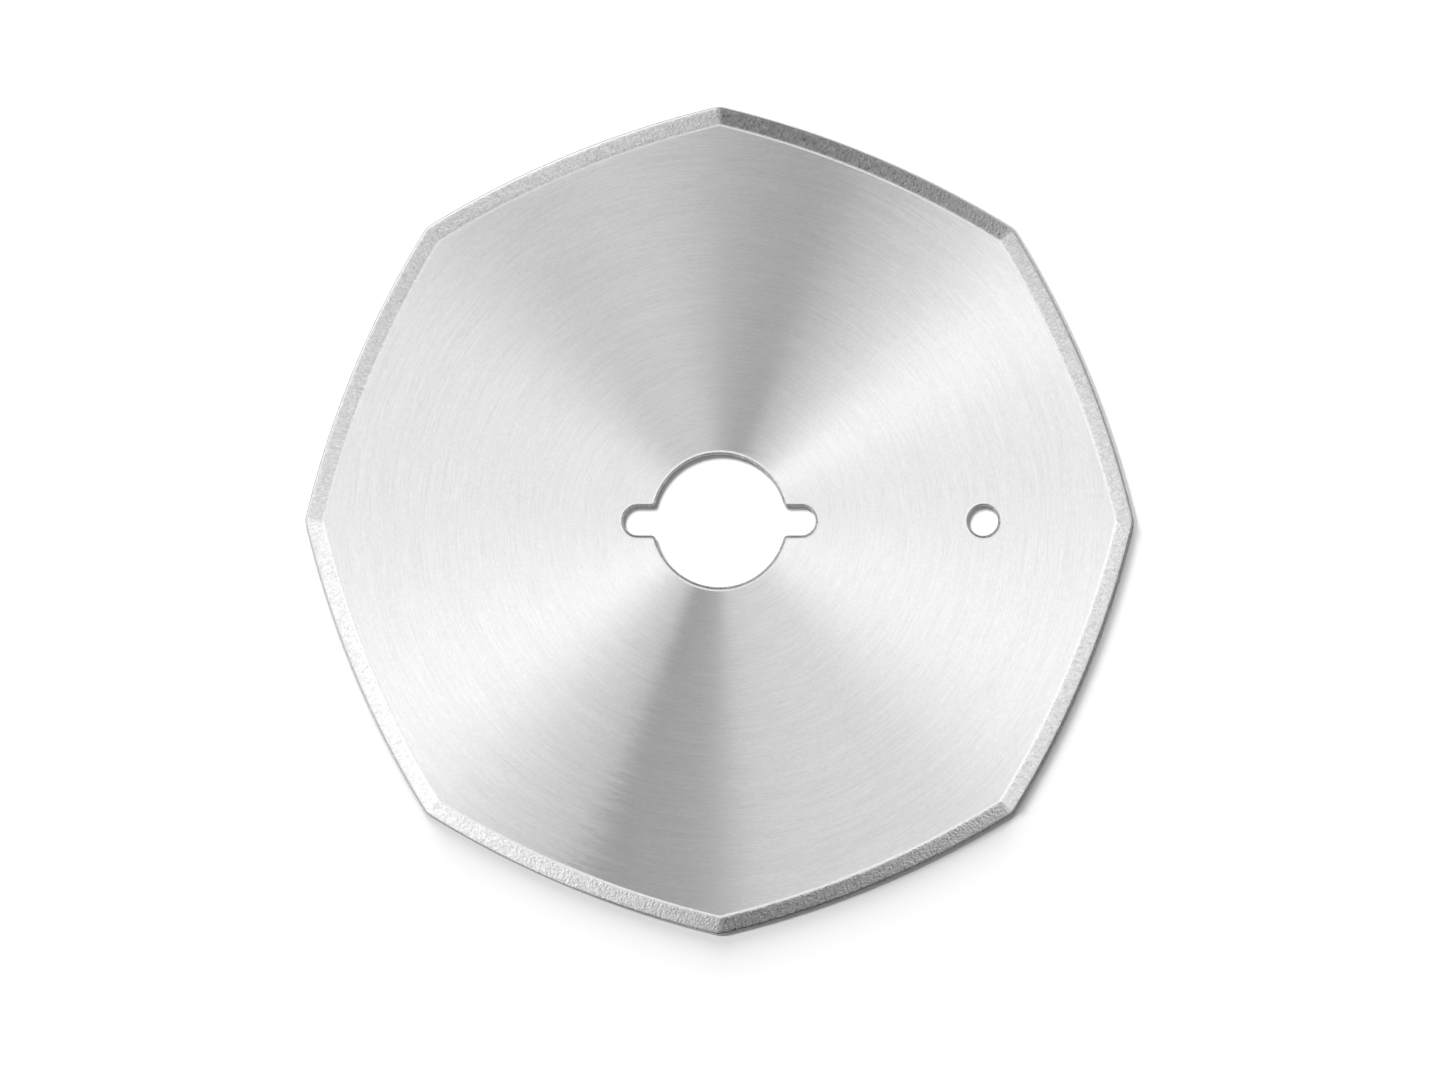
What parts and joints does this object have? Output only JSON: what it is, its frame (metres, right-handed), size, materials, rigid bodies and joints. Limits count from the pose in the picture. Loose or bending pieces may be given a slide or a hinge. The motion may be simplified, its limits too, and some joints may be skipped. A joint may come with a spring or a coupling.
{
  "type": "rotary cutter blade",
  "caption": "Flat octagonal steel cloth-cutting blade with bowed edges ground on one face, a keyed central bore and a locating pin hole.",
  "frame": {"origin": "on the bore axis at the flat, unground back face, on which the blade lies", "axes": "+Z along the bore axis, out of the face with the ground rim; +X from the bore towards the pin hole, through a corner of the octagon and both keyways"},
  "size_m": [0.1, 0.1, 0.0012],
  "materials": {
    "blade_steel": "faces fine-ground in circles, rim rough-ground, cutting edge honed"
  },
  "bodies": {
    "root": {"blade": "blade_steel"}
  },
  "joints": []
}
